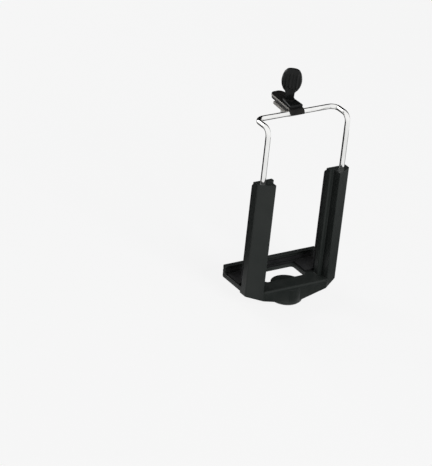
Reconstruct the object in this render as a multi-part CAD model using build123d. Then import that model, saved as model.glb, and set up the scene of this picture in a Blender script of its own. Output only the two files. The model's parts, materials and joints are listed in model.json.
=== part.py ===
from build123d import *
import math
import os

# Phone holder for a tripod head. Millimetres, +Z up, +X across the phone, +Y towards its screen.
# The origin is on the thread's axis, in the flat bottom of the boss that stands on the tripod.

# Body moulding: overall sizes
BODY_WIDTH = 50.4
FLOOR_TOP_Z = 10.1
FLOOR_THICK = 1.9
ARM_TOP_Z = 65.2
REAR_Y = -7.2
OUTER_REAR_Y = -3.1
ARM_FRONT_Y = 1.5
SKIRT_WALL = 2.0
SKIRT_CORNER_Z = 7.4
SKIRT_CENTRE_Z = 1.7
SKIRT_FLAT_HALF = 2.5
SKIRT_BEND_RADIUS = 6.0

# Arms: an L section with a flange at the front and a slanted back
ARM_WIDTH = 7.7
FLANGE_WIDTH = 9.7
FLANGE_THICK = 3.4
FLANGE_TIP_RADIUS = 0.3
FLANGE_BACK_RADIUS = 0.7
ARM_INNER_RADIUS = 0.4
ARM_TOP_FRONT_RADIUS = 1.6
ARM_TOP_REAR_RADIUS = 1.0
EDGE_RADIUS = 1.0

# Boss and thread
BOSS_RADIUS = 7.8
BOSS_CHAMFER = 0.8
THREAD_CORE_RADIUS = 2.6
INSERT_RADIUS = 4.4
INSERT_FLANGE_RADIUS = 5.4
INSERT_FLANGE_THICK = 0.8
INSERT_LENGTH = 7.4
INSERT_CHAMFER = 0.4
BASE_RIB_THICK = 1.2
BASE_RIB_HEIGHT = 4.2

# Tray and lip
LIP_FRONT_Y = 17.0
LIP_THICK = 2.0
LIP_HEIGHT = 4.6
LIP_HOOK = 0.7
LIP_CORNER_RADIUS = 2.4
LIP_GROOVE_DEPTH = 0.3
LIP_GROOVE_WIDTH = 0.5
LIP_GROOVE_PITCH = 1.7
WINDOW_SIDE_MARGIN = 13.9
WINDOW_REAR_Y = 0.9
WINDOW_FRONT_Y = 12.8
WINDOW_RADIUS = 1.5

# Foam pads
ARM_PAD_THICK = 1.8
ARM_PAD_INSET = 0.2
ARM_PAD_TOP_GAP = 2.6
TRAY_PAD_THICK = 0.9
LIP_PAD_THICK = 0.6
LIP_PAD_BELOW_TOP = 2.1
PAD_END_GAP = 0.6

# Wire bail
WIRE_RADIUS = 1.25
CROSSBAR_Y = 9.2
CROSSBAR_Z = 92.0
BEND_RADIUS = 3.6
WIRE_CLEARANCE = 0.07
LEG_END_Z = 38.0

# Springs, end stops and plugs in the arms
BORE_RADIUS = 2.2
BORE_SIDE_WALL = 1.3
BORE_FRONT_WALL = 1.1
ARM_ROOF_THICK = 3.0
STOP_LENGTH = 4.0
STOP_ABOVE_END = 0.8
STOP_CLEARANCE = 0.2
SPRING_WIRE_RADIUS = 0.3
SPRING_COIL_RADIUS = 1.73
SPRING_TURNS = 7
SPRING_STEPS = 12
SPRING_SEAT_GAP = 0.1
PLUG_LENGTH = 3.0

# Clip on the crossbar, in its own frame: origin on the crossbar's axis, tongue along +Y
CLIP_TILT_DEG = 3.5
CLIP_WIDTH = 7.0
STRIP_THICK = 0.8
SADDLE_LIP_DEG = 7.0
TONGUE_TIP_Y = 17.6
TONGUE_CORNER = 2.6
LINER_THICK = 1.5
LINER_REAR_Y = 2.4
LINER_FRONT_MARGIN = 0.5
LOWER_JAW_TOP = -1.15
LOWER_JAW_REAR_Y = 0.45
LOWER_JAW_TIP_Y = 14.4
LOWER_JAW_WIDTH = 6.6
LOWER_JAW_CORNER = 1.0
BLOCK_REAR_Y = 0.3
BLOCK_HEIGHT = 1.4
BLOCK_NOSE_RADIUS = 2.9
BLOCK_CHAMFER = 0.3

# Thumb screw
SCREW_Y = 6.8
SCREW_RADIUS = 1.45
SCREW_HOLE_CLEARANCE = 0.15
THREAD_RUNNING_CLEARANCE = 0.05
SCREW_TIP_BELOW_NUT = 0.6
WASHER_RADIUS = 2.6
WASHER_THICK = 0.4
NECK_WIDTH = 4.4
NECK_THICK = 3.2
NECK_HEIGHT = 4.0
HEAD_WIDTH = 9.5
HEAD_HEIGHT = 11.1
HEAD_THICK = 4.2
HEAD_TOP_FLAT = 4.8
HEAD_WAIST = 0.46
HEAD_EDGE_RADIUS = 1.5
HEAD_RIBS = 6
RIB_DEPTH = 0.35
RIB_RADIUS = 0.45
NUT_FLATS = 5.5
NUT_THICK = 2.3
NUT_CHAMFER = 0.35
KNOB_TURN_DEG = -35.0

# Length that a cutting tool runs past the face it cuts through
CUT_OVERRUN = 2.0


def rounded_face(points, radii, plane=Plane.XY):
    """A closed outline with an arc of the given radius at each corner."""
    outline = FilletPolyline(*points, radius=radii, close=True)
    return plane * make_face(outline)


def prism(face, height):
    return extrude(face, amount=height)


def mirrored(shape):
    return mirror(shape, about=Plane.YZ)


def arm_inner_x():
    """Distance from the middle to the inner face of an arm."""
    return BODY_WIDTH / 2 - ARM_WIDTH


def flange_inner_x():
    return BODY_WIDTH / 2 - FLANGE_WIDTH


def leg_x():
    """Distance from the middle to the axis of a leg and of its spring bore."""
    return BODY_WIDTH / 2 - BORE_SIDE_WALL - BORE_RADIUS


def leg_y():
    return ARM_FRONT_Y - BORE_FRONT_WALL - BORE_RADIUS


def arm_section():
    """Section of the right arm, seen from above."""
    half = BODY_WIDTH / 2
    shoulder_y = ARM_FRONT_Y - FLANGE_THICK
    points = [
        (flange_inner_x(), ARM_FRONT_Y),
        (flange_inner_x(), shoulder_y),
        (arm_inner_x(), shoulder_y),
        (arm_inner_x(), REAR_Y),
        (half, OUTER_REAR_Y),
        (half, ARM_FRONT_Y),
    ]
    inner = ARM_INNER_RADIUS
    radii = [FLANGE_TIP_RADIUS, FLANGE_BACK_RADIUS, inner, inner, EDGE_RADIUS, EDGE_RADIUS]
    return rounded_face(points, radii)


def arm_side_profile():
    """Outline of an arm from the side, with its rounded top."""
    margin = CUT_OVERRUN
    points = [
        (REAR_Y - margin, 0),
        (ARM_FRONT_Y, 0),
        (ARM_FRONT_Y, ARM_TOP_Z),
        (REAR_Y, ARM_TOP_Z),
        (REAR_Y - margin, ARM_TOP_Z - margin),
    ]
    radii = [0, 0, ARM_TOP_FRONT_RADIUS, ARM_TOP_REAR_RADIUS, 0]
    return rounded_face(points, radii, Plane.YZ)


def right_arm():
    column = Pos(0, 0, FLOOR_TOP_Z) * prism(arm_section(), ARM_TOP_Z - FLOOR_TOP_Z)
    side = Pos(flange_inner_x() - CUT_OVERRUN, 0, 0) * prism(arm_side_profile(), BODY_WIDTH / 2)
    return column & side


def base_plan():
    """Plan of the base under the arms, with the same slanted rear corners."""
    half = BODY_WIDTH / 2
    points = [
        (-half, ARM_FRONT_Y),
        (-half, OUTER_REAR_Y),
        (-arm_inner_x(), REAR_Y),
        (arm_inner_x(), REAR_Y),
        (half, OUTER_REAR_Y),
        (half, ARM_FRONT_Y),
    ]
    radii = [0, EDGE_RADIUS, EDGE_RADIUS, EDGE_RADIUS, EDGE_RADIUS, 0]
    return rounded_face(points, radii)


def below_skirt():
    """The space under the skirt's V-shaped lower edge, to cut away."""
    half = BODY_WIDTH / 2
    run_out = 3.0
    depth = 4.0
    slope = (SKIRT_CORNER_Z - SKIRT_CENTRE_Z) / (half - SKIRT_FLAT_HALF)
    outer = half + run_out
    outer_z = SKIRT_CORNER_Z + run_out * slope
    points = [
        (-outer, outer_z),
        (-SKIRT_FLAT_HALF, SKIRT_CENTRE_Z),
        (SKIRT_FLAT_HALF, SKIRT_CENTRE_Z),
        (outer, outer_z),
        (outer, -depth),
        (-outer, -depth),
    ]
    radii = [0, SKIRT_BEND_RADIUS, SKIRT_BEND_RADIUS, 0, 0, 0]
    face = rounded_face(points, radii, Plane.XZ)
    return Pos(0, LIP_FRONT_Y, 0) * prism(face, 2 * LIP_FRONT_Y)


def base_middle(rear_y, rear_radius):
    """The stretch of the base between the arms, up to a rear face at rear_y."""
    width = 2 * (arm_inner_x() - ARM_INNER_RADIUS)
    points = [
        (ARM_FRONT_Y, 0),
        (ARM_FRONT_Y, FLOOR_TOP_Z),
        (rear_y, FLOOR_TOP_Z),
        (rear_y, 0),
    ]
    face = rounded_face(points, [0, 0, rear_radius, 0], Plane.YZ)
    return Pos(-width / 2, 0, 0) * prism(face, width)


def base_shell():
    """The base: floor, skirt round it and open underside."""
    ends = prism(base_plan(), FLOOR_TOP_Z) - base_middle(REAR_Y - CUT_OVERRUN, 0)
    block = ends + base_middle(REAR_Y, EDGE_RADIUS)
    inner_half = arm_inner_x() - SKIRT_WALL
    cavity_depth = FLOOR_TOP_Z - FLOOR_THICK
    cavity = Pos(0, REAR_Y + SKIRT_WALL, 0) * Box(
        2 * inner_half,
        ARM_FRONT_Y - REAR_Y - SKIRT_WALL + CUT_OVERRUN,
        cavity_depth,
        align=(Align.CENTER, Align.MIN, Align.MIN),
    )
    return block - cavity


def lip_profile():
    """Side profile of the tray and its lip, which hooks inwards at the top."""
    under = FLOOR_TOP_Z - FLOOR_THICK
    top = FLOOR_TOP_Z + LIP_HEIGHT
    inner = LIP_FRONT_Y - LIP_THICK
    points = [
        (ARM_FRONT_Y - 1, under),
        (LIP_FRONT_Y - 0.2, under),
        (LIP_FRONT_Y, top - 0.4),
        (LIP_FRONT_Y - 0.9, top),
        (inner - LIP_HOOK, top - 0.2),
        (inner, top - 1.5),
        (inner, FLOOR_TOP_Z),
        (ARM_FRONT_Y - 1, FLOOR_TOP_Z),
    ]
    radii = [0, 0.8, 0.3, 0.5, 0.2, 0.6, 0.6, 0]
    return rounded_face(points, radii, Plane.YZ)


def lip_front_view():
    """Outline of the tray and lip from the front, with rounded lower corners."""
    half = BODY_WIDTH / 2
    under = FLOOR_TOP_Z - FLOOR_THICK
    top = FLOOR_TOP_Z + LIP_HEIGHT + 1
    points = [(-half, top), (-half, under), (half, under), (half, top)]
    radii = [0, LIP_CORNER_RADIUS, LIP_CORNER_RADIUS, 0]
    return rounded_face(points, radii, Plane.XZ)


def tray():
    """The floor in front of the arms and the lip at its edge."""
    half = BODY_WIDTH / 2
    slab = Pos(-half, 0, 0) * prism(lip_profile(), BODY_WIDTH)
    view = Pos(0, LIP_FRONT_Y + CUT_OVERRUN, 0) * prism(lip_front_view(), LIP_FRONT_Y + 2 * CUT_OVERRUN)
    shape = slab & view
    groove_z = FLOOR_TOP_Z + LIP_HEIGHT / 2 - LIP_GROOVE_PITCH
    for index in range(2):
        groove = Pos(0, LIP_FRONT_Y, groove_z + index * LIP_GROOVE_PITCH) * Box(
            BODY_WIDTH, 2 * LIP_GROOVE_DEPTH, LIP_GROOVE_WIDTH
        )
        shape = shape - groove
    return shape


def window_half_width():
    return BODY_WIDTH / 2 - WINDOW_SIDE_MARGIN


def floor_window():
    """The opening in the tray floor."""
    width = 2 * window_half_width()
    depth = WINDOW_FRONT_Y - WINDOW_REAR_Y
    centre_y = (WINDOW_FRONT_Y + WINDOW_REAR_Y) / 2
    face = RectangleRounded(width, depth, WINDOW_RADIUS)
    return Pos(0, centre_y, 0) * prism(face, FLOOR_TOP_Z + CUT_OVERRUN)


def boss():
    """The round boss that stands on the tripod, up to the underside of the floor."""
    top = FLOOR_TOP_Z - FLOOR_THICK
    shape = Cylinder(BOSS_RADIUS, top, align=(Align.CENTER, Align.CENTER, Align.MIN))
    return chamfer(shape.edges().group_by(Axis.Z)[0], BOSS_CHAMFER)


def boss_ribs():
    """Ribs from the boss to the two ends of the cavity and to the skirt."""
    reach = arm_inner_x() - SKIRT_WALL / 2
    top = FLOOR_TOP_Z - FLOOR_THICK
    cross = Pos(0, (REAR_Y + ARM_FRONT_Y) / 2, top) * Box(
        2 * reach, BASE_RIB_THICK, BASE_RIB_HEIGHT, align=(Align.CENTER, Align.CENTER, Align.MAX)
    )
    return cross


def insert_pocket():
    """The pocket that the threaded insert fills, open at the bottom."""
    shank = Cylinder(INSERT_RADIUS, INSERT_LENGTH, align=(Align.CENTER, Align.CENTER, Align.MIN))
    flange = Cylinder(
        INSERT_FLANGE_RADIUS, INSERT_FLANGE_THICK, align=(Align.CENTER, Align.CENTER, Align.MIN)
    )
    return shank + flange


def arm_bore():
    """The spring bore and the guide hole of the right leg."""
    roof_z = ARM_TOP_Z - ARM_ROOF_THICK
    bottom = (Align.CENTER, Align.CENTER, Align.MIN)
    bore = Cylinder(BORE_RADIUS, roof_z, align=bottom)
    guide = Cylinder(WIRE_RADIUS + WIRE_CLEARANCE, ARM_TOP_Z + CUT_OVERRUN, align=bottom)
    return Pos(leg_x(), leg_y(), 0) * (bore + guide)


def body_frame():
    arm = right_arm()
    shape = base_shell() + tray() + arm + mirrored(arm)
    shape = shape - below_skirt()
    shape = shape - floor_window()
    shape = shape + boss() + boss_ribs()
    shape = shape - insert_pocket()
    bore = arm_bore()
    return shape - bore - mirrored(bore)


def thread_insert():
    """Metal insert with the core bore of the tripod thread."""
    bottom = (Align.CENTER, Align.CENTER, Align.MIN)
    shank = Cylinder(INSERT_RADIUS, INSERT_LENGTH, align=bottom)
    flange = Cylinder(INSERT_FLANGE_RADIUS, INSERT_FLANGE_THICK, align=bottom)
    bore = Cylinder(THREAD_CORE_RADIUS, INSERT_LENGTH, align=bottom)
    shape = shank + flange - bore
    mouth = shape.edges().filter_by(GeomType.CIRCLE).group_by(Axis.Z)[0].sort_by(SortBy.RADIUS)[0]
    return chamfer(mouth, INSERT_CHAMFER)


def skirt_z(x):
    """Height of the skirt's lower edge at a distance x from the middle."""
    half = BODY_WIDTH / 2
    slope = (SKIRT_CORNER_Z - SKIRT_CENTRE_Z) / (half - SKIRT_FLAT_HALF)
    return SKIRT_CENTRE_Z + slope * (abs(x) - SKIRT_FLAT_HALF)


def plug_bottom_z():
    return skirt_z(leg_x() + BORE_RADIUS)


def bore_plug():
    """Plug that closes the right spring bore at the bottom."""
    shape = Cylinder(BORE_RADIUS, PLUG_LENGTH, align=(Align.CENTER, Align.CENTER, Align.MIN))
    return Pos(leg_x(), leg_y(), plug_bottom_z()) * shape


def bail_path():
    half = leg_x()
    points = [
        (-half, leg_y(), LEG_END_Z),
        (-half, leg_y(), CROSSBAR_Z),
        (-half, CROSSBAR_Y, CROSSBAR_Z),
        (half, CROSSBAR_Y, CROSSBAR_Z),
        (half, leg_y(), CROSSBAR_Z),
        (half, leg_y(), LEG_END_Z),
    ]
    return FilletPolyline(*points, radius=BEND_RADIUS)


def wire_bail():
    path = bail_path()
    start = Plane(origin=path @ 0, z_dir=path % 0)
    return sweep(start * Circle(WIRE_RADIUS), path=path)


def end_stop():
    """Collar fixed on the lower end of the right leg."""
    outer = BORE_RADIUS - STOP_CLEARANCE
    bottom = (Align.CENTER, Align.CENTER, Align.MIN)
    shape = Cylinder(outer, STOP_LENGTH, align=bottom)
    shape = shape - Cylinder(WIRE_RADIUS, STOP_LENGTH, align=bottom)
    return Pos(leg_x(), leg_y(), LEG_END_Z + STOP_ABOVE_END) * shape


def spring_low_z():
    return LEG_END_Z + STOP_ABOVE_END + STOP_LENGTH + SPRING_SEAT_GAP


def spring_high_z():
    return ARM_TOP_Z - ARM_ROOF_THICK - SPRING_SEAT_GAP


def spring():
    """Compression spring round the right leg, between the end stop and the arm's roof.

    The coil is made of short straight steps, because it is small and closed in.
    """
    low = spring_low_z() + SPRING_WIRE_RADIUS
    high = spring_high_z() - SPRING_WIRE_RADIUS
    steps = SPRING_TURNS * SPRING_STEPS
    points = []
    for index in range(steps + 1):
        angle = 2 * math.pi * index / SPRING_STEPS
        x = SPRING_COIL_RADIUS * math.cos(angle)
        y = SPRING_COIL_RADIUS * math.sin(angle)
        points.append((x, y, (high - low) * index / steps))
    path = Polyline(*points)
    start = Plane(origin=path @ 0, z_dir=path % 0)
    section = RegularPolygon(SPRING_WIRE_RADIUS, 6)
    coil = sweep(start * section, path=path, transition=Transition.RIGHT)
    return Pos(leg_x(), leg_y(), low) * coil


def arm_pad():
    """Foam strip on the front of the right arm."""
    inner = flange_inner_x() + ARM_PAD_INSET
    outer = BODY_WIDTH / 2 - EDGE_RADIUS
    low = FLOOR_TOP_Z + TRAY_PAD_THICK + PAD_END_GAP
    high = ARM_TOP_Z - ARM_PAD_TOP_GAP
    face = Pos((inner + outer) / 2, (low + high) / 2) * RectangleRounded(outer - inner, high - low, 1.2)
    return Pos(0, ARM_FRONT_Y, 0) * prism(Plane.XZ * face, -ARM_PAD_THICK)


def tray_pad():
    """Foam sheet on the tray floor, cut out over the opening."""
    rear = ARM_FRONT_Y + ARM_PAD_THICK
    front = LIP_FRONT_Y - LIP_THICK - LIP_PAD_THICK - PAD_END_GAP
    width = BODY_WIDTH - 2 * PAD_END_GAP
    sheet = Pos(0, (rear + front) / 2) * RectangleRounded(width, front - rear, 0.8)
    cut_half = window_half_width() + PAD_END_GAP
    cut_front = WINDOW_FRONT_Y + PAD_END_GAP / 2
    cut_rear = rear - CUT_OVERRUN
    cut = Pos(0, (cut_rear + cut_front) / 2) * Rectangle(2 * cut_half, cut_front - cut_rear)
    return Pos(0, 0, FLOOR_TOP_Z) * prism(sheet - cut, TRAY_PAD_THICK)


def lip_pad():
    """Thin foam strip behind the lip, under its hook."""
    low = FLOOR_TOP_Z + TRAY_PAD_THICK
    high = FLOOR_TOP_Z + LIP_HEIGHT - LIP_PAD_BELOW_TOP
    width = BODY_WIDTH - 4 * PAD_END_GAP
    face = Pos(0, (low + high) / 2) * Rectangle(width, high - low)
    return Pos(0, LIP_FRONT_Y - LIP_THICK, 0) * prism(Plane.XZ * face, LIP_PAD_THICK)


def on_crossbar(shape):
    """Place a piece of the clip, tilted, on the middle of the crossbar."""
    return Pos(0, CROSSBAR_Y, CROSSBAR_Z) * Rot(X=CLIP_TILT_DEG) * shape


def screw_hole():
    """Clearance hole for the screw, through everything up to the knob."""
    reach = knob_base_z() + CUT_OVERRUN
    return Pos(0, SCREW_Y, 0) * Cylinder(SCREW_RADIUS + SCREW_HOLE_CLEARANCE, 2 * reach)


def strip_outline(rear, tip, width, tip_radius):
    """Plan of a flat strip with rounded corners at its tip."""
    half = width / 2
    points = [(-half, rear), (half, rear), (half, tip), (-half, tip)]
    radii = [0, 0, tip_radius, tip_radius]
    return rounded_face(points, radii)


def saddle_inner_radius():
    return WIRE_RADIUS + WIRE_CLEARANCE


def tongue_top():
    """The tongue leaves the saddle level with its top."""
    return saddle_inner_radius() + STRIP_THICK


def block_top():
    return tongue_top() + BLOCK_HEIGHT


def saddle():
    """Quarter ring of the strip over the crossbar, down to the lip behind it."""
    inner = saddle_inner_radius()
    outer = inner + STRIP_THICK
    ring = Circle(outer) - Circle(inner)
    reach = 2 * outer
    lip = math.radians(SADDLE_LIP_DEG)
    keep = make_face(
        Polyline(
            (0, 0),
            (-reach * math.cos(lip), -reach * math.sin(lip)),
            (-reach, reach),
            (0, reach),
            close=True,
        )
    )
    face = Plane.YZ * (ring & keep)
    return Pos(-CLIP_WIDTH / 2, 0, 0) * prism(face, CLIP_WIDTH)


def upper_jaw():
    """Steel strip: saddle, then the flat tongue with a round end."""
    plan = strip_outline(0, TONGUE_TIP_Y, CLIP_WIDTH, TONGUE_CORNER)
    tongue = Pos(0, 0, tongue_top()) * prism(plan, -STRIP_THICK)
    return saddle() + tongue - screw_hole()


def jaw_liner():
    """Rubber layer glued under the tongue."""
    width = CLIP_WIDTH - LINER_FRONT_MARGIN
    tip = TONGUE_TIP_Y - LINER_FRONT_MARGIN
    plan = strip_outline(LINER_REAR_Y, tip, width, TONGUE_CORNER - LINER_FRONT_MARGIN / 2)
    top = tongue_top() - STRIP_THICK
    return Pos(0, 0, top) * prism(plan, -LINER_THICK) - screw_hole()


def lower_jaw():
    """Steel strip under the tongue, with a hollow in its rear end for the crossbar."""
    plan = strip_outline(LOWER_JAW_REAR_Y, LOWER_JAW_TIP_Y, LOWER_JAW_WIDTH, LOWER_JAW_CORNER)
    plate = Pos(0, 0, LOWER_JAW_TOP) * prism(plan, -STRIP_THICK)
    wire = Rot(Y=90) * Cylinder(saddle_inner_radius(), 2 * CLIP_WIDTH)
    return plate - wire - screw_hole()


def saddle_block():
    """Spacer from the saddle to the screw, narrowing towards the knob."""
    rear = Pos(0, BLOCK_REAR_Y + 0.5) * Rectangle(CLIP_WIDTH, 1.0)
    nose = Pos(0, SCREW_Y) * Circle(BLOCK_NOSE_RADIUS)
    plan = make_hull(rear.edges() + nose.edges())
    block = Pos(0, 0, tongue_top()) * prism(plan, BLOCK_HEIGHT)
    top_edges = block.edges().group_by(Axis.Z)[-1]
    return chamfer(top_edges, BLOCK_CHAMFER) - screw_hole()


def knob_washer():
    shape = Pos(0, SCREW_Y, block_top()) * Cylinder(
        WASHER_RADIUS, WASHER_THICK, align=(Align.CENTER, Align.CENTER, Align.MIN)
    )
    return shape - screw_hole()


def knob_base_z():
    return block_top() + WASHER_THICK


def head_outline():
    """Front outline of the knob's head: an oval with a flat top, widest a little below its middle."""
    half = HEAD_WIDTH / 2
    neck = NECK_WIDTH / 2
    top = HEAD_TOP_FLAT / 2
    waist = (half, HEAD_WAIST * HEAD_HEIGHT)
    low = TangentArc([waist, (neck, 0)], tangent=(0, -1))
    high = TangentArc([waist, (top, HEAD_HEIGHT)], tangent=(0, 1))
    ends = Polyline((top, HEAD_HEIGHT), (0, HEAD_HEIGHT), (0, 0), (neck, 0))
    half_face = make_face(low + high + ends)
    return half_face + mirror(half_face, about=Plane.YZ)


def head_side_profile():
    """Side outline of the head, thinner at the neck."""
    neck = NECK_THICK / 2
    head = HEAD_THICK / 2
    points = [
        (-neck, 0),
        (neck, 0),
        (head, 0.26 * HEAD_HEIGHT),
        (head, HEAD_HEIGHT),
        (-head, HEAD_HEIGHT),
        (-head, 0.26 * HEAD_HEIGHT),
    ]
    radii = [0, 0, 2.0, HEAD_EDGE_RADIUS, HEAD_EDGE_RADIUS, 2.0]
    return rounded_face(points, radii, Plane.YZ)


def knob_head():
    """Head rounded in all three views."""
    front = Pos(0, HEAD_THICK, 0) * prism(Plane.XZ * head_outline(), 2 * HEAD_THICK)
    side = Pos(-HEAD_WIDTH, 0, 0) * prism(head_side_profile(), 2 * HEAD_WIDTH)
    plan = prism(Ellipse(head_bulge_x(), head_bulge_y()), HEAD_HEIGHT + 1)
    shape = front & side & plan
    for groove in head_grooves():
        shape = shape - groove
    return shape


def head_bulge_x():
    """Half width of the oval that rounds the head's sides, seen from above."""
    return HEAD_WIDTH / 2 + 0.2


def head_bulge_y():
    return HEAD_THICK / 2 + 0.4


def head_surface_y(x):
    """Distance from the head's middle to its broad face."""
    oval = head_bulge_y() * math.sqrt(1 - (x / head_bulge_x()) ** 2)
    return min(HEAD_THICK / 2, oval)


def head_grooves():
    """Upright grooves in both broad faces of the head."""
    grooves = []
    pitch = HEAD_WIDTH / (HEAD_RIBS + 1)
    for index in range(HEAD_RIBS):
        x = (index - (HEAD_RIBS - 1) / 2) * pitch
        reach = math.sqrt(1 - (2 * x / HEAD_WIDTH) ** 2)
        bar = Cylinder(RIB_RADIUS, 0.7 * HEAD_HEIGHT * reach)
        for side in (-1, 1):
            y = side * (head_surface_y(x) + RIB_RADIUS - RIB_DEPTH)
            grooves.append(Pos(x, y, 0.54 * HEAD_HEIGHT) * bar)
    return grooves


def thumb_knob():
    neck = prism(RectangleRounded(NECK_WIDTH, NECK_THICK, 0.5), NECK_HEIGHT)
    shape = neck + Pos(0, 0, NECK_HEIGHT) * knob_head()
    shape = shape - Cylinder(SCREW_RADIUS, socket_depth(), align=(Align.CENTER, Align.CENTER, Align.MIN))
    return Pos(0, SCREW_Y, knob_base_z()) * Rot(Z=KNOB_TURN_DEG) * shape


def socket_depth():
    """Depth of the screw's end in the knob."""
    return NECK_HEIGHT + 0.2 * HEAD_HEIGHT


def nut_low_z():
    return LOWER_JAW_TOP - STRIP_THICK - NUT_THICK


def clamp_screw():
    """Steel screw held in the knob, through both jaws and the nut."""
    low = nut_low_z() - SCREW_TIP_BELOW_NUT
    high = knob_base_z() + socket_depth()
    shape = Cylinder(SCREW_RADIUS, high - low, align=(Align.CENTER, Align.CENTER, Align.MIN))
    shape = chamfer(shape.edges().group_by(Axis.Z)[0], 0.3)
    return Pos(0, SCREW_Y, low) * shape


def clamp_nut():
    """Hexagon nut pressed on the underside of the lower jaw."""
    plan = RegularPolygon(NUT_FLATS / 2, 6, major_radius=False)
    corners = Cylinder(NUT_FLATS / math.sqrt(3), NUT_THICK, align=(Align.CENTER, Align.CENTER, Align.MIN))
    corners = chamfer(corners.edges().group_by(Axis.Z)[0], NUT_CHAMFER)
    shape = prism(plan, NUT_THICK) & corners
    bore = SCREW_RADIUS + THREAD_RUNNING_CLEARANCE
    shape = shape - Cylinder(bore, NUT_THICK, align=(Align.CENTER, Align.CENTER, Align.MIN))
    return Pos(0, SCREW_Y, nut_low_z()) * shape


def write_all():
    os.makedirs("parts", exist_ok=True)
    nodes = {
        "body_frame": body_frame(),
        "thread_insert": thread_insert(),
        "wire_bail": wire_bail(),
        "tray_pad": tray_pad(),
        "lip_pad": lip_pad(),
        "upper_jaw": on_crossbar(upper_jaw()),
        "jaw_liner": on_crossbar(jaw_liner()),
        "lower_jaw": on_crossbar(lower_jaw()),
        "saddle_block": on_crossbar(saddle_block()),
        "knob_washer": on_crossbar(knob_washer()),
        "thumb_knob": on_crossbar(thumb_knob()),
        "clamp_screw": on_crossbar(clamp_screw()),
        "clamp_nut": on_crossbar(clamp_nut()),
    }
    pairs = {
        "arm_pad": arm_pad(),
        "spring": spring(),
        "end_stop": end_stop(),
        "bore_plug": bore_plug(),
    }
    for name, shape in pairs.items():
        nodes["right_" + name] = shape
        nodes["left_" + name] = mirrored(shape)
    for name, shape in nodes.items():
        export_step(shape, f"parts/{name}.step")


write_all()
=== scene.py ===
import json
import math

import bmesh
import bpy
from mathutils import Matrix, Vector, noise


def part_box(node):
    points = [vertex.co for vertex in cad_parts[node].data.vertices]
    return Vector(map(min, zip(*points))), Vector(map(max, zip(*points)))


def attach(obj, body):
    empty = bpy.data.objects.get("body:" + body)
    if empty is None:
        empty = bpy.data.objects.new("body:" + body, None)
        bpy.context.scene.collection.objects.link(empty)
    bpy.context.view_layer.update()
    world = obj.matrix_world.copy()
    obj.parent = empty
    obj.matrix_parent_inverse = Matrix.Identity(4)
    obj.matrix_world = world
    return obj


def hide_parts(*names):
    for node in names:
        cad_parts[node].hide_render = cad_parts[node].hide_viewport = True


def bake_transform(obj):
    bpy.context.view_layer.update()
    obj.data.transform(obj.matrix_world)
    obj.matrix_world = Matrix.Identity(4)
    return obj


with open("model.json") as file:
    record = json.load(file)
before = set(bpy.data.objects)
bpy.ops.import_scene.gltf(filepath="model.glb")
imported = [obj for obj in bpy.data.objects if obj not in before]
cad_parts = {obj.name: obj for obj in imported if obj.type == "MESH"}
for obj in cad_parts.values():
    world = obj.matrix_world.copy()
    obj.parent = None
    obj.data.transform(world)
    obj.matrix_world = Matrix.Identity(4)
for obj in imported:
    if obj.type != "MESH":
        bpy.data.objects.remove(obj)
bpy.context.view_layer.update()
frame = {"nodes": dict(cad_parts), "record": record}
nodes = frame["nodes"]

# The pieces are drawn in millimetres, at the same places as the solids
MM = 0.001
TO_METRES = Matrix.Scale(MM, 4)

# Clip
CROSSBAR = (0.0, 9.2, 92.0)
CLIP_TILT = math.radians(3.5)
CLIP_WIDTH = 7.0
SCREW_Y = 6.8
WIRE_RADIUS = 1.25
WIRE_CLEARANCE = 0.07
STRIP_THICK = 0.8
TONGUE_TOP = WIRE_RADIUS + WIRE_CLEARANCE + STRIP_THICK
BLOCK_HEIGHT = 1.4
WASHER_THICK = 0.4
KNOB_BASE_Z = TONGUE_TOP + BLOCK_HEIGHT + WASHER_THICK

# Rubber under the tongue
LINER_SIDE_MARGIN = 0.25
LINER_REAR_Y = 2.4
LINER_TIP_Y = 17.1
LINER_THICK = 1.4
LINER_REAR_RADIUS = 0.3
LINER_TIP_RADIUS = 2.3

# Thumb knob; the head's tables give (share of its height, half size)
KNOB_TURN = math.radians(-35)
KNOB_POINTS = 144
HEAD_RINGS = 40
NECK_HEIGHT = 4.0
HEAD_HEIGHT = 11.1
CROWN_HEIGHT = 0.12
NECK_POWER = 6.0
HEAD_POWER = 2.6
POWER_FADE = 0.15
NECK_RINGS = [  # height, half width, half thickness and squareness
    (0.0, 2.05, 1.45, NECK_POWER), (0.15, 2.2, 1.6, NECK_POWER), (NECK_HEIGHT - 0.6, 2.2, 1.6, NECK_POWER),
]
HEAD_WIDTHS = [
    (0, 2.2), (0.03, 2.85), (0.06, 3.25), (0.1, 3.6), (0.16, 3.98), (0.23, 4.3), (0.3, 4.52),
    (0.38, 4.67), (0.46, 4.74), (0.54, 4.7), (0.62, 4.58), (0.7, 4.38), (0.78, 4.08), (0.855, 3.65),
    (0.9, 3.35), (0.94, 3.02), (0.97, 2.6), (0.99, 2.1), (1.0, 1.7),
]
HEAD_THICKS = [(0, 1.6), (0.12, 1.8), (0.3, 2.08), (0.6, 2.1), (0.85, 2.05), (0.92, 1.85), (0.97, 1.45), (1.0, 0.9)]
RIB_PITCH = 1.6
RIB_HEIGHT = 0.54
RIB_START = 0.12
RIB_END = 0.93
RIB_FADE = 0.1
RIB_HALF_SPAN = 4.5
RIB_EDGE_Y = 0.8

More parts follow.
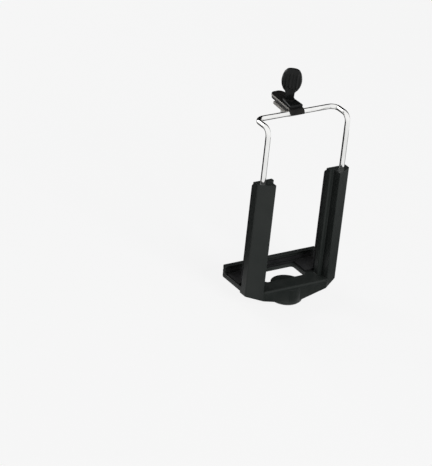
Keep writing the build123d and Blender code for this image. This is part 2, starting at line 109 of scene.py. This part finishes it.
# Threads
THREAD_ROWS_PER_TURN = 10
THREAD_FLAT = 0.12
THREAD_RUN_OUT = 0.7
INSERT_STEPS = 96
INSERT_HEIGHT = 7.4
INSERT_CORE_RADIUS = 2.6
INSERT_THREAD_RADIUS = 3.17
INSERT_PITCH = 1.27
KNURL_TEETH = 24
KNURL_DEPTH = 0.08
INSERT_OUTSIDE = [  # radius, height and knurl of each ring, from the mouth up round the flange
    (3.1, 0.0, 0), (5.2, 0.0, 0), (5.38, 0.15, 0), (5.38, 0.8, 0), (4.38, 0.8, 0), (4.32, 1.2, 0),
    (4.3, 1.25, KNURL_DEPTH), (4.3, 6.6, KNURL_DEPTH), (4.1, 7.38, 0), (2.7, INSERT_HEIGHT, 0),
]
SCREW_STEPS = 40
SCREW_LOW = -4.85
SCREW_THREAD_TOP = KNOB_BASE_Z + 1.0
SCREW_END = KNOB_BASE_Z + 6.2
SCREW_TIP_RADIUS = 1.0
SCREW_CORE_RADIUS = 1.2
SCREW_THREAD_RADIUS = 1.45
SCREW_SHANK_RADIUS = 1.3
SCREW_PITCH = 0.5

# Springs
LEG_X = 21.7
LEG_Y = -1.8
SPRING_FOOT_Z = 42.9
SPRING_TOP_Z = 62.1
SPRING_WIRE_RADIUS = 0.3
SPRING_COIL_RADIUS = 1.73
SPRING_TURNS = 9
SPRING_CLOSED_PITCH = 0.64
SPRING_STEPS = 28
SPRING_SIDES = 8

# Foam and other sheets
ARM_PAD_RADIUS = 1.2
LIP_PAD_RADIUS = 0.2
TRAY_PAD_RADIUS = 0.8
TRAY_CUT_RADIUS = 0.3
TRAY_CUT_X = 11.9
TRAY_CUT_Y = 13.1
CORNER_STEPS = 6
SHEET_EDGE_SEGMENTS = 4
SHEET_EDGE_PROFILE = 0.6
SHEET_MAX_SPLITS = 4
SHEET_MAX_EDGE = 1.6
SHEET_WAVES = 0.35

# Square lower corners of the tray's ends
TRAY_END_X = 25.2
TRAY_BOTTOM_Z = 8.2
TRAY_ROUNDING = 2.4
TRAY_BITE = 0.06
TRAY_REAR_Y = 1.0
TRAY_FRONT_Y = 16.8
TRAY_FRONT_RADIUS = 0.8
TRAY_STEPS = 8


def clip_matrix():
    """From the clip's own frame, in millimetres, to the row's frame."""
    return TO_METRES @ Matrix.Translation(CROSSBAR) @ Matrix.Rotation(CLIP_TILT, 4, "X")


# ---- materials

NOISE_LOW = 0.3  # nearly all values of a noise lie between these two
NOISE_HIGH = 0.7
NOISE_ROUGHNESS = 0.55
GRAIN_DETAIL = 2.0
ROUGH_PATCHES = 4
EDGE_SAMPLES = 6

# The coated strip: its coating, where its cut edges are uncoated steel, and where its upper face gets a painted
# reflection, as (none below, all above)
COATING_LOW = (0.006, 0.006, 0.006)
COATING_HIGH = (0.014, 0.013, 0.012)
COATING_ROUGH = (0.35, 0.5)
BARE_STEEL_AND_PAINTED_REFLECTION = (0.6, 0.58, 0.54, 1)
BARE_SIDE_FACING = (0.55, 0.85)
PAINTED_REFLECTION_TOP_FACING = (0.7, 0.9)
BARE_FRONT_Y = (0.0094, 0.0104)
WEAR_SCALE = 1400
WEAR_DETAIL = 4
WEAR_RANGE = (0.75, 1.0)


def new_material(name):
    mat = bpy.data.materials.new(name)
    mat.use_nodes = True
    tree = mat.node_tree
    tree.nodes.clear()
    out = tree.nodes.new("ShaderNodeOutputMaterial")
    shader = tree.nodes.new("ShaderNodeBsdfPrincipled")
    tree.links.new(shader.outputs["BSDF"], out.inputs["Surface"])
    return mat, tree, shader, out


def noise_value(tree, scale, detail=3.0):
    coord = tree.nodes.new("ShaderNodeTexCoord")
    tex = tree.nodes.new("ShaderNodeTexNoise")
    tex.inputs["Scale"].default_value = scale
    tex.inputs["Detail"].default_value = detail
    tex.inputs["Roughness"].default_value = NOISE_ROUGHNESS
    tree.links.new(coord.outputs["Object"], tex.inputs["Vector"])
    return tex.outputs["Fac"]


def noise_colour(tree, scale, low, high):
    """A patchy colour between two given ones."""
    ramp = tree.nodes.new("ShaderNodeValToRGB")
    ramp.color_ramp.elements[0].position = NOISE_LOW
    ramp.color_ramp.elements[0].color = (*low, 1)
    ramp.color_ramp.elements[1].position = NOISE_HIGH
    ramp.color_ramp.elements[1].color = (*high, 1)
    tree.links.new(noise_value(tree, scale), ramp.inputs["Fac"])
    return ramp.outputs["Color"]


def map_range(tree, source, start, end, low=0.0, high=1.0):
    """low where the source is start or less, high where it is end or more, and even in between."""
    node = tree.nodes.new("ShaderNodeMapRange")
    node.inputs["From Min"].default_value = start
    node.inputs["From Max"].default_value = end
    node.inputs["To Min"].default_value = low
    node.inputs["To Max"].default_value = high
    tree.links.new(source, node.inputs["Value"])
    return node.outputs["Result"]


def math_value(tree, operation, first, second=None):
    node = tree.nodes.new("ShaderNodeMath")
    node.operation = operation
    tree.links.new(first, node.inputs[0])
    if second is not None:
        tree.links.new(second, node.inputs[1])
    return node.outputs["Value"]


def bump_normal(tree, height, strength, distance, edge):
    """Bumps on a normal whose edges are softened by the given radius."""
    bump = tree.nodes.new("ShaderNodeBump")
    bump.inputs["Strength"].default_value = strength
    bump.inputs["Distance"].default_value = distance
    tree.links.new(height, bump.inputs["Height"])
    if edge:
        bevel = tree.nodes.new("ShaderNodeBevel")
        bevel.samples = EDGE_SAMPLES
        bevel.inputs["Radius"].default_value = edge
        tree.links.new(bevel.outputs["Normal"], bump.inputs["Normal"])
    return bump.outputs["Normal"]


def surface(
    name, low, high, rough, metal=0.0, patch=90.0, grain=2500.0, bump=(0.2, 0.00005), edge=0.0,
    specular=0.5, ior=1.5
):
    """A surface with patchy colour and roughness, a fine grain and softened edges."""
    mat, tree, shader, _ = new_material(name)
    tree.links.new(noise_colour(tree, patch, low, high), shader.inputs["Base Color"])
    roughness = map_range(tree, noise_value(tree, patch * ROUGH_PATCHES), NOISE_LOW, NOISE_HIGH, *rough)
    tree.links.new(roughness, shader.inputs["Roughness"])
    normal = bump_normal(tree, noise_value(tree, grain, GRAIN_DETAIL), *bump, edge)
    tree.links.new(normal, shader.inputs["Normal"])
    shader.inputs["Metallic"].default_value = metal
    shader.inputs["Specular IOR Level"].default_value = specular
    shader.inputs["IOR"].default_value = ior
    return mat


def strip_material(name, painted_top_reflection):
    """Black coated strip with uncoated steel cut edges in front of the crossbar.

    Its upper face can also be painted pale and non-metallic: a painted reflection.
    """
    mat = surface(name, COATING_LOW, COATING_HIGH, COATING_ROUGH, patch=300, edge=0.00012, specular=0.2, ior=1.4)
    tree = mat.node_tree
    shader = tree.nodes["Principled BSDF"]
    coord = tree.nodes.new("ShaderNodeTexCoord")
    facing = tree.nodes.new("ShaderNodeSeparateXYZ")
    tree.links.new(coord.outputs["Normal"], facing.inputs[0])
    place = tree.nodes.new("ShaderNodeSeparateXYZ")
    tree.links.new(coord.outputs["Object"], place.inputs[0])
    cut_side = map_range(tree, math_value(tree, "ABSOLUTE", facing.outputs["X"]), *BARE_SIDE_FACING)
    in_front = map_range(tree, place.outputs["Y"], *BARE_FRONT_Y)
    worn = map_range(tree, noise_value(tree, WEAR_SCALE, WEAR_DETAIL), NOISE_LOW, NOISE_HIGH, *WEAR_RANGE)
    edge_steel_and_painted_top = math_value(tree, "MULTIPLY", math_value(tree, "MULTIPLY", cut_side, in_front), worn)
    tree.links.new(edge_steel_and_painted_top, shader.inputs["Metallic"])
    # Here the upper face is painted pale but not metallic, as a painted reflection
    if painted_top_reflection:
        edge_steel_and_painted_top = math_value(tree, "MAXIMUM", edge_steel_and_painted_top, map_range(tree, facing.outputs["Z"], *PAINTED_REFLECTION_TOP_FACING))
    mix = tree.nodes.new("ShaderNodeMix")
    mix.data_type = "RGBA"
    coating = shader.inputs["Base Color"].links[0].from_socket
    tree.links.new(edge_steel_and_painted_top, mix.inputs["Factor"])
    tree.links.new(coating, mix.inputs["A"])
    mix.inputs["B"].default_value = BARE_STEEL_AND_PAINTED_REFLECTION
    tree.links.new(mix.outputs["Result"], shader.inputs["Base Color"])
    return mat


SLOT_MATERIALS = {
    "body_plastic": surface(
        "body_plastic", (0.012, 0.0145, 0.0135), (0.018, 0.0205, 0.019), (0.36, 0.46),
        patch=70, grain=3200, bump=(0.25, 0.00003), edge=0.0004, specular=0.3, ior=1.38
    ),
    "knob_plastic": surface(
        "knob_plastic", (0.004, 0.0045, 0.0045), (0.008, 0.0085, 0.0083), (0.28, 0.4),
        patch=250, grain=4000, bump=(0.2, 0.00003), edge=0.0001, specular=0.25, ior=1.38
    ),
    "bail_chrome": surface(
        "bail_chrome", (0.82, 0.82, 0.81), (0.9, 0.9, 0.89), (0.05, 0.09), metal=1.0,
        patch=150, grain=900, bump=(0.04, 0.00002)
    ),
    "spring_steel": surface(
        "spring_steel", (0.35, 0.35, 0.36), (0.5, 0.5, 0.5), (0.25, 0.4), metal=1.0,
        patch=400, grain=6000
    ),
    "screw_steel": surface(
        "screw_steel", (0.42, 0.42, 0.41), (0.6, 0.6, 0.58), (0.25, 0.4), metal=1.0,
        patch=500, grain=5000, edge=0.0001
    ),
    "insert_brass": surface(
        "insert_brass", (0.6, 0.42, 0.17), (0.75, 0.56, 0.26), (0.25, 0.4), metal=1.0,
        patch=300, grain=4000, edge=0.0001
    ),
    "foam_pad": surface(
        "foam_pad", (0.009, 0.009, 0.0095), (0.02, 0.02, 0.021), (0.85, 0.97),
        patch=200, grain=1900, bump=(0.8, 0.00018), specular=0.2
    ),
    "jaw_rubber": surface(
        "jaw_rubber", (0.004, 0.004, 0.004), (0.009, 0.009, 0.009), (0.6, 0.75),
        patch=300, grain=2600, bump=(0.4, 0.00006)
    ),
    "strip_steel": strip_material("strip_steel", False),
}
OWN_MATERIALS = {
    "lower_jaw": strip_material("strip_steel_lower_painted_reflection", True),
    "knob_washer": surface(
        "washer_coated", COATING_LOW, COATING_HIGH, COATING_ROUGH,
        patch=500, grain=4000, edge=0.0001, specular=0.3
    ),
}
for sub in frame["record"]["subparts"]:
    slots = nodes[sub["node"]].data.materials
    slots.clear()
    slots.append(OWN_MATERIALS.get(sub["node"], SLOT_MATERIALS[sub["material_slot"]]))


# ---- what several pieces use

def link(name, bm, place, body, slot, replaces=None, smooth=True):
    """Makes a visual piece of a mesh. A piece without a body is left unattached."""
    mesh = bpy.data.meshes.new(name)
    bmesh.ops.transform(bm, matrix=place, verts=bm.verts)
    bmesh.ops.recalc_face_normals(bm, faces=bm.faces)
    bm.to_mesh(mesh)
    bm.free()
    for face in mesh.polygons:
        face.use_smooth = smooth
    obj = bpy.data.objects.new(name, mesh)
    bpy.context.scene.collection.objects.link(obj)
    mesh.materials.append(SLOT_MATERIALS[slot])
    if body:
        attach(obj, body)
    if replaces:
        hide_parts(replaces)
    return obj


def ring_faces(bm, lower, upper):
    """Faces between two rings with the same number of points."""
    for i in range(len(lower)):
        j = (i + 1) % len(lower)
        bm.faces.new((lower[i], lower[j], upper[j], upper[i]))


def circle(bm, radius, z, steps, wave=0.0, teeth=0):
    """A ring of points round Z; a wave gives it that many teeth."""
    ring = []
    for i in range(steps):
        angle = 2 * math.pi * i / steps
        r = radius + wave * math.cos(teeth * angle)
        ring.append(bm.verts.new((r * math.cos(angle), r * math.sin(angle), z)))
    return ring


def table_value(table, t):
    """Value at t from (t, value) pairs, with straight lines between them."""
    for (t0, v0), (t1, v1) in zip(table, table[1:]):
        if t <= t1:
            return v0 + (v1 - v0) * (t - t0) / (t1 - t0)
    return table[-1][1]


# ---- thumb knob

def knob_rings():
    """Heights, half widths, half thicknesses and squareness of the knob, from the neck up."""
    rings = list(NECK_RINGS)
    for step in range(1, HEAD_RINGS + 1):
        t = step / HEAD_RINGS
        power = HEAD_POWER + (NECK_POWER - HEAD_POWER) * max(0, POWER_FADE - t) / POWER_FADE
        height = NECK_HEIGHT + HEAD_HEIGHT * t
        rings.append((height, table_value(HEAD_WIDTHS, t), table_value(HEAD_THICKS, t), power))
    return rings


def superellipse(angle, width, thick, power):
    """A point of an oval that is the squarer, the higher its power is."""
    c, s = math.cos(angle), math.sin(angle)
    x = width * math.copysign(abs(c) ** (2 / power), c)
    y = thick * math.copysign(abs(s) ** (2 / power), s)
    return x, y


def rib_height(x, z):
    """How far the ribs on the head's broad sides stand out, none at its ends and narrow edges."""
    t = (z - NECK_HEIGHT) / HEAD_HEIGHT
    along = max(0.0, min(1.0, (t - RIB_START) / RIB_FADE, (RIB_END - t) / RIB_FADE))
    across = max(0.0, 1 - (abs(x) / RIB_HALF_SPAN) ** 6)
    return RIB_HEIGHT / 2 * along * across * (1 - math.cos(2 * math.pi * x / RIB_PITCH))


def build_knob():
    bm = bmesh.new()
    previous = None
    for z, width, thick, power in knob_rings():
        ring = []
        for i in range(KNOB_POINTS):
            x, y = superellipse(2 * math.pi * i / KNOB_POINTS, width, thick, power)
            y += math.copysign(rib_height(x, z), y) * min(1, abs(y) / RIB_EDGE_Y)
            ring.append(bm.verts.new((x, y, z)))
        if previous:
            ring_faces(bm, previous, ring)
        else:
            bm.faces.new(list(reversed(ring)))
        previous = ring
    top = bm.verts.new((0, 0, NECK_HEIGHT + HEAD_HEIGHT + CROWN_HEIGHT))
    for i in range(KNOB_POINTS):
        bm.faces.new((previous[i], previous[(i + 1) % KNOB_POINTS], top))
    place = clip_matrix() @ Matrix.Translation((0, SCREW_Y, KNOB_BASE_Z)) @ Matrix.Rotation(KNOB_TURN, 4, "Z")
    link("thumb_knob_moulding", bm, place, "knob", "knob_plastic", "thumb_knob")


# ---- threads

def thread_rings(bm, inner, outer, low, high, pitch, steps):
    """Rings of a helical thread between two heights, which runs out at both ends."""
    rows = int((high - low) / pitch * THREAD_ROWS_PER_TURN)
    run_out = THREAD_RUN_OUT * pitch
    rings = []
    for row in range(rows + 1):
        z = low + (high - low) * row / rows
        ends = min(1.0, (z - low) / run_out, (high - z) / run_out)
        ring = []
        for i in range(steps):
            angle = 2 * math.pi * i / steps
            phase = ((z - low) / pitch - i / steps) % 1.0
            flank = 1 - abs(2 * phase - 1)
            tooth = max(0.0, min(1.0, (flank - THREAD_FLAT) / (1 - 2 * THREAD_FLAT)))
            radius = inner + (outer - inner) * tooth * ends
            ring.append(bm.verts.new((radius * math.cos(angle), radius * math.sin(angle), z)))
        rings.append(ring)
    for lower, upper in zip(rings, rings[1:]):
        ring_faces(bm, lower, upper)
    return rings


def build_insert():
    """Knurled brass insert with its real internal thread."""
    bm = bmesh.new()
    thread = thread_rings(
        bm, INSERT_CORE_RADIUS, INSERT_THREAD_RADIUS, 0.0, INSERT_HEIGHT, INSERT_PITCH, INSERT_STEPS
    )
    outside = [circle(bm, radius, z, INSERT_STEPS, knurl, KNURL_TEETH) for radius, z, knurl in INSERT_OUTSIDE]
    closed = [thread[0], *outside, thread[-1]]
    for lower, upper in zip(closed, closed[1:]):
        ring_faces(bm, lower, upper)
    link("thread_insert_turned", bm, TO_METRES, "base", "insert_brass", "thread_insert")


def build_screw():
    """Steel screw with its thread below the knob."""
    bm = bmesh.new()
    thread = thread_rings(
        bm, SCREW_CORE_RADIUS, SCREW_THREAD_RADIUS, SCREW_LOW, SCREW_THREAD_TOP, SCREW_PITCH, SCREW_STEPS
    )
    tip = circle(bm, SCREW_TIP_RADIUS, SCREW_LOW, SCREW_STEPS)
    bm.faces.new(list(reversed(tip)))
    ring_faces(bm, tip, thread[0])
    end = circle(bm, SCREW_SHANK_RADIUS, SCREW_END, SCREW_STEPS)
    ring_faces(bm, thread[-1], end)
    bm.faces.new(end)
    place = clip_matrix() @ Matrix.Translation((0, SCREW_Y, 0))
    link("clamp_screw_threaded", bm, place, "knob", "screw_steel", "clamp_screw")


# ---- springs

def coil_height(turn):
    """Height of the wire's centre: the first and last turn lie closed, the others are spaced evenly."""
    low, high = SPRING_FOOT_Z + SPRING_WIRE_RADIUS, SPRING_TOP_Z - SPRING_WIRE_RADIUS
    if turn <= 1:
        return low + SPRING_CLOSED_PITCH * turn
    if turn >= SPRING_TURNS - 1:
        return high - SPRING_CLOSED_PITCH * (SPRING_TURNS - turn)
    share = (turn - 1) / (SPRING_TURNS - 2)
    return low + SPRING_CLOSED_PITCH + (high - low - 2 * SPRING_CLOSED_PITCH) * share


def build_spring(name, node, side):
    """Compression spring round a leg, its top at the arm's roof."""
    bm = bmesh.new()
    up = Vector((0, 0, 1))
    rings = []
    for step in range(SPRING_TURNS * SPRING_STEPS + 1):
        turn = step / SPRING_STEPS
        angle = 2 * math.pi * turn
        radial = Vector((math.cos(angle), math.sin(angle), 0))
        centre = radial * SPRING_COIL_RADIUS + up * coil_height(turn)
        ring = []
        for i in range(SPRING_SIDES):
            a = 2 * math.pi * i / SPRING_SIDES
            offset = radial * (SPRING_WIRE_RADIUS * math.cos(a)) + up * (SPRING_WIRE_RADIUS * math.sin(a))
            ring.append(bm.verts.new(centre + offset))
        rings.append(ring)
    for lower, upper in zip(rings, rings[1:]):
        ring_faces(bm, lower, upper)
    bm.faces.new(rings[0])
    bm.faces.new(list(reversed(rings[-1])))
    place = TO_METRES @ Matrix.Translation((side * LEG_X, LEG_Y, 0))
    spring = link(name, bm, place, None, "spring_steel", node)
    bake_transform(spring)


# ---- foam and rubber

def rounded_outline(points, radii):
    """Points of a closed outline whose corners are rounded."""
    result = []
    count = len(points)
    for i in range(count):
        corner = Vector(points[i])
        start = corner + (Vector(points[i - 1]) - corner).normalized() * radii[i]
        end = corner + (Vector(points[(i + 1) % count]) - corner).normalized() * radii[i]
        for step in range(CORNER_STEPS + 1):
            t = step / CORNER_STEPS
            result.append(start * (1 - t) ** 2 + corner * 2 * t * (1 - t) + end * t * t)
    return result


def many_sided(bm):
    """Faces that still need triangles."""
    return [face for face in bm.faces if len(face.verts) > 4]


def cut_sheet(points, radii, thick, edge, crown):
    """A cut sheet: soft upper edge, and a slightly crowned and uneven upper face."""
    bm = bmesh.new()
    face = bm.faces.new([bm.verts.new((p.x, p.y, 0)) for p in rounded_outline(points, radii)])
    made = bmesh.ops.extrude_face_region(bm, geom=[face])
    top = [v for v in made["geom"] if isinstance(v, bmesh.types.BMVert)]
    bmesh.ops.translate(bm, vec=(0, 0, thick), verts=top)
    rim = [e for e in bm.edges if all(v.co.z > thick * 0.5 for v in e.verts)]
    bmesh.ops.bevel(
        bm, geom=rim, offset=edge, segments=SHEET_EDGE_SEGMENTS, profile=SHEET_EDGE_PROFILE, affect="EDGES"
    )
    bmesh.ops.triangulate(bm, faces=many_sided(bm))
    for _ in range(SHEET_MAX_SPLITS):
        long_edges = [e for e in bm.edges if e.calc_length() > SHEET_MAX_EDGE]
        if not long_edges:
            break
        bmesh.ops.subdivide_edges(bm, edges=long_edges, cuts=1)
        bmesh.ops.triangulate(bm, faces=many_sided(bm))
    for v in bm.verts:
        if v.co.z > thick * 0.6:
            wave = noise.noise(Vector((v.co.x * SHEET_WAVES, v.co.y * SHEET_WAVES, 3.0)))
            v.co.z -= crown * (0.5 - 0.5 * wave)
    return bm


def box_points(x0, y0, x1, y1):
    return [(x0, y0), (x1, y0), (x1, y1), (x0, y1)]


def upright(y, facing):
    """The place of a sheet that stands at y: its x along X, its y along Z, and facing 1 for +Y or -1 for -Y."""
    turn = Matrix(((1, 0, 0, 0), (0, 0, facing, 0), (0, 1, 0, 0), (0, 0, 0, 1)))
    return TO_METRES @ Matrix.Translation((0, y, 0)) @ turn


def foam_pad(node, bm, place):
    """Puts a foam sheet in the place of its solid."""
    pad = link(node + "_foam", bm, place, "base", "foam_pad", node)


def node_box(node):
    """The lowest and highest corner of a solid's box, in millimetres."""
    low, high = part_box(node)
    return low / MM, high / MM


def build_pads():
    for node in ("right_arm_pad", "left_arm_pad"):
        lo, hi = node_box(node)
        points = box_points(lo.x, lo.z, hi.x, hi.z)
        sheet = cut_sheet(points, [ARM_PAD_RADIUS] * 4, hi.y - lo.y, edge=0.3, crown=0.08)
        foam_pad(node, sheet, upright(lo.y, 1))
    lo, hi = node_box("lip_pad")
    points = box_points(lo.x, lo.z, hi.x, hi.z)
    sheet = cut_sheet(points, [LIP_PAD_RADIUS] * 4, hi.y - lo.y, edge=0.15, crown=0.04)
    foam_pad("lip_pad", sheet, upright(hi.y, -1))
    lo, hi = node_box("tray_pad")
    points = [
        (lo.x, lo.y), (-TRAY_CUT_X, lo.y), (-TRAY_CUT_X, TRAY_CUT_Y), (TRAY_CUT_X, TRAY_CUT_Y),
        (TRAY_CUT_X, lo.y), (hi.x, lo.y), (hi.x, hi.y), (lo.x, hi.y),
    ]
    radii = [TRAY_PAD_RADIUS] + [TRAY_CUT_RADIUS] * 4 + [TRAY_PAD_RADIUS] * 3
    sheet = cut_sheet(points, radii, hi.z - lo.z, edge=0.2, crown=0.05)
    foam_pad("tray_pad", sheet, TO_METRES @ Matrix.Translation((0, 0, lo.z)))


def build_liner():
    """The rubber layer that hangs under the tongue."""
    half = CLIP_WIDTH / 2 - LINER_SIDE_MARGIN
    points = box_points(-half, LINER_REAR_Y, half, LINER_TIP_Y)
    radii = [LINER_REAR_RADIUS] * 2 + [LINER_TIP_RADIUS] * 2
    sheet = cut_sheet(points, radii, LINER_THICK, edge=0.25, crown=0.03)
    under = Matrix.Translation((0, 0, TONGUE_TOP - STRIP_THICK)) @ Matrix.Rotation(math.pi, 4, "Y")
    link("jaw_liner_rubber", sheet, clip_matrix() @ under, "clip", "jaw_rubber", "jaw_liner")


def build_tray_corners():
    """The square lower corners of the tray's ends, which the solid rounds."""
    radius = TRAY_ROUNDING - TRAY_BITE
    profile = [(TRAY_END_X, TRAY_BOTTOM_Z)]
    for step in range(TRAY_STEPS + 1):
        angle = math.pi / 2 * step / TRAY_STEPS
        x = TRAY_END_X - TRAY_ROUNDING + radius * math.cos(angle)
        profile.append((x, TRAY_BOTTOM_Z + TRAY_ROUNDING - radius * math.sin(angle)))
    places = [TRAY_REAR_Y]
    places += [TRAY_FRONT_Y - TRAY_FRONT_RADIUS * (1 - step / TRAY_STEPS) for step in range(TRAY_STEPS + 1)]
    for name, side in (("tray_corner_left", -1), ("tray_corner_right", 1)):
        bm = bmesh.new()
        rings = []
        for y in places:
            inset = max(0.0, y - TRAY_FRONT_Y + TRAY_FRONT_RADIUS)
            low = TRAY_BOTTOM_Z + TRAY_FRONT_RADIUS - math.sqrt(TRAY_FRONT_RADIUS ** 2 - inset ** 2)
            rings.append([bm.verts.new((side * x, y, max(z, low))) for x, z in profile])
        for rear, front in zip(rings, rings[1:]):
            ring_faces(bm, rear, front)
        bm.faces.new(rings[0])
        bm.faces.new(list(reversed(rings[-1])))
        link(name, bm, TO_METRES, "base", "body_plastic", smooth=False)


build_knob()
build_insert()
build_screw()
build_spring("left_spring_coil", "left_spring", -1)
build_spring("right_spring_coil", "right_spring", 1)
build_pads()
build_liner()
build_tray_corners()


# ---- floor, light and camera, in metres

FLOOR_HALF_SIDE = 3.0
FLOOR_SQUARES = 40
FLOOR_DROP = 0.0001
FLOOR_PATCHES = 6
FLOOR_LOW = (0.6, 0.6, 0.6)
FLOOR_HIGH = (0.62, 0.62, 0.62)
FLOOR_WHITE_SHARE = 0.86
CARD_PATCHES = 4
WORLD_LIGHT = 0.2
WORLD_SEEN = 1.0
LIGHT_TARGET = Vector((0, 0, 0.05))

# The camera was fitted to the photograph: degrees, metres and pixels
CAMERA_AZIMUTH = -34.8645
CAMERA_ELEVATION = 27.0268
CAMERA_ROLL = 6.2553
CAMERA_DISTANCE = 1.4
CAMERA_TARGET = Vector((0, 0, 0.045))
FOCAL_PIXELS = 3037.5
TARGET_PIXEL = (295.606, 212.547)
PHOTO_SIZE = (432, 466)
SENSOR_WIDTH = 36


def seen_or_reflected(tree):
    """1 for what the camera, metal or glass sees, and 0 for the light that falls on the object."""
    path = tree.nodes.new("ShaderNodeLightPath")
    value = path.outputs["Is Camera Ray"]
    for name in ("Is Glossy Ray", "Is Transmission Ray"):
        value = math_value(tree, "MAXIMUM", value, path.outputs[name])
    return value


def build_floor():
    """A pale floor: it looks nearly white, but keeps the object's shadow."""
    bm = bmesh.new()
    bmesh.ops.create_grid(bm, x_segments=FLOOR_SQUARES, y_segments=FLOOR_SQUARES, size=FLOOR_HALF_SIDE)
    mesh = bpy.data.meshes.new("floor")
    bm.to_mesh(mesh)
    bm.free()
    floor = bpy.data.objects.new("floor", mesh)
    floor.location.z = -FLOOR_DROP
    bpy.context.scene.collection.objects.link(floor)
    mat, tree, shader, out = new_material("floor_white")
    tree.links.new(noise_colour(tree, FLOOR_PATCHES, FLOOR_LOW, FLOOR_HIGH), shader.inputs["Base Color"])
    shader.inputs["Roughness"].default_value = 0.9
    shader.inputs["Specular IOR Level"].default_value = 0.1
    glow = tree.nodes.new("ShaderNodeEmission")
    share = tree.nodes.new("ShaderNodeMath")
    share.operation = "MULTIPLY"
    share.inputs[1].default_value = FLOOR_WHITE_SHARE
    tree.links.new(seen_or_reflected(tree), share.inputs[0])
    mix = tree.nodes.new("ShaderNodeMixShader")
    tree.links.new(share.outputs["Value"], mix.inputs["Fac"])
    tree.links.new(shader.outputs["BSDF"], mix.inputs[1])
    tree.links.new(glow.outputs["Emission"], mix.inputs[2])
    tree.links.new(mix.outputs["Shader"], out.inputs["Surface"])
    mesh.materials.append(mat)


def build_world():
    """A soft white studio, brighter to look at and in reflections than as a light."""
    world = bpy.data.worlds.new("studio")
    bpy.context.scene.world = world
    world.use_nodes = True
    tree = world.node_tree
    tree.nodes.clear()
    out = tree.nodes.new("ShaderNodeOutputWorld")
    mix = tree.nodes.new("ShaderNodeMixShader")
    tree.links.new(seen_or_reflected(tree), mix.inputs["Fac"])
    for place, strength in ((1, WORLD_LIGHT), (2, WORLD_SEEN)):
        white = tree.nodes.new("ShaderNodeBackground")
        white.inputs["Color"].default_value = (1, 1, 1, 1)
        white.inputs["Strength"].default_value = strength
        tree.links.new(white.outputs["Background"], mix.inputs[place])
    tree.links.new(mix.outputs["Shader"], out.inputs["Surface"])


def dark_card(name, corners, shade):
    """A dark studio card that shows only in reflections, so that bright metal gets its dark lines."""
    mesh = bpy.data.meshes.new(name)
    mesh.from_pydata([Vector(corner) for corner in corners], [], [tuple(range(len(corners)))])
    card = bpy.data.objects.new(name, mesh)
    bpy.context.scene.collection.objects.link(card)
    mat, tree, shader, _ = new_material(name)
    colour = noise_colour(tree, CARD_PATCHES, (shade * 0.8,) * 3, (shade,) * 3)
    tree.links.new(colour, shader.inputs["Base Color"])
    shader.inputs["Roughness"].default_value = 1.0
    shader.inputs["Specular IOR Level"].default_value = 0.0
    mesh.materials.append(mat)
    card.visible_camera = False
    card.visible_diffuse = False
    card.visible_shadow = False
    card.visible_transmission = False


def floor_patch(name, low, high, height, shade):
    """A card that lies just above the floor, between two corners."""
    dark_card(name, [(x, y, height) for x, y in box_points(*low, *high)], shade)


def standing_card(name, bearing, distance, width, height, shade):
    """An upright card that faces the object from the given bearing, in degrees from +X."""
    angle = math.radians(bearing)
    away = Vector((math.cos(angle), math.sin(angle), 0))
    side = Vector((-away.y, away.x, 0)) * (width / 2)
    low = away * distance + Vector((0, 0, 0.001))
    up = Vector((0, 0, height))
    dark_card(name, [low - side, low + side, low + side + up, low - side + up], shade)


def area_light(name, place, size, power):
    """A square area light that is aimed at the object."""
    data = bpy.data.lights.new(name, "AREA")
    data.shape = "RECTANGLE"
    data.size = data.size_y = size
    data.energy = power
    light = bpy.data.objects.new(name, data)
    light.location = place
    light.rotation_euler = (LIGHT_TARGET - Vector(place)).to_track_quat("-Z", "Y").to_euler()
    bpy.context.scene.collection.objects.link(light)
    return light


def build_camera():
    """The photograph's view: far away, from behind the arms on the left and a little above."""
    azimuth, elevation, roll = (math.radians(v) for v in (CAMERA_AZIMUTH, CAMERA_ELEVATION, CAMERA_ROLL))
    back = Vector((
        math.sin(azimuth) * math.cos(elevation),
        -math.cos(azimuth) * math.cos(elevation),
        math.sin(elevation),
    ))
    level_right = (-back).cross(Vector((0, 0, 1))).normalized()
    level_up = level_right.cross(-back)
    right = level_right * math.cos(roll) + level_up * math.sin(roll)
    up = level_up * math.cos(roll) - level_right * math.sin(roll)
    width, height = PHOTO_SIZE
    metres_per_pixel = CAMERA_DISTANCE / FOCAL_PIXELS
    place = CAMERA_TARGET + back * CAMERA_DISTANCE
    place -= right * ((TARGET_PIXEL[0] - width / 2) * metres_per_pixel)
    place += up * ((TARGET_PIXEL[1] - height / 2) * metres_per_pixel)
    data = bpy.data.cameras.new("camera")
    data.sensor_width = SENSOR_WIDTH
    data.lens = FOCAL_PIXELS * SENSOR_WIDTH / height
    data.clip_start = 0.05
    data.clip_end = 20
    camera = bpy.data.objects.new("camera", data)
    axes = Matrix((right, up, back)).transposed()
    camera.matrix_world = Matrix.Translation(place) @ axes.to_4x4()
    bpy.context.scene.collection.objects.link(camera)
    bpy.context.scene.camera = camera


build_floor()
build_world()
standing_card("card_behind", bearing=55, distance=0.35, width=0.8, height=0.6, shade=0.01)
floor_patch("card_front", (-0.2, 0.03), (0.06, 0.25), height=0.001, shade=0.01)
floor_patch("card_right", (0.03, -0.05), (0.2, 0.05), height=0.0008, shade=0.2)
floor_patch("card_rear", (-0.02, -0.035), (0.07, -0.0095), height=0.0012, shade=0.01)
key_light = area_light("key", (0.0, -1.2, 0.55), size=0.5, power=14)
# In reflections the key light would turn the flat tops white from the front
key_light.visible_glossy = False
area_light("fill", (-0.35, 1.1, 0.6), size=0.8, power=8)
build_camera()
bpy.context.scene.view_settings.view_transform = "Standard"
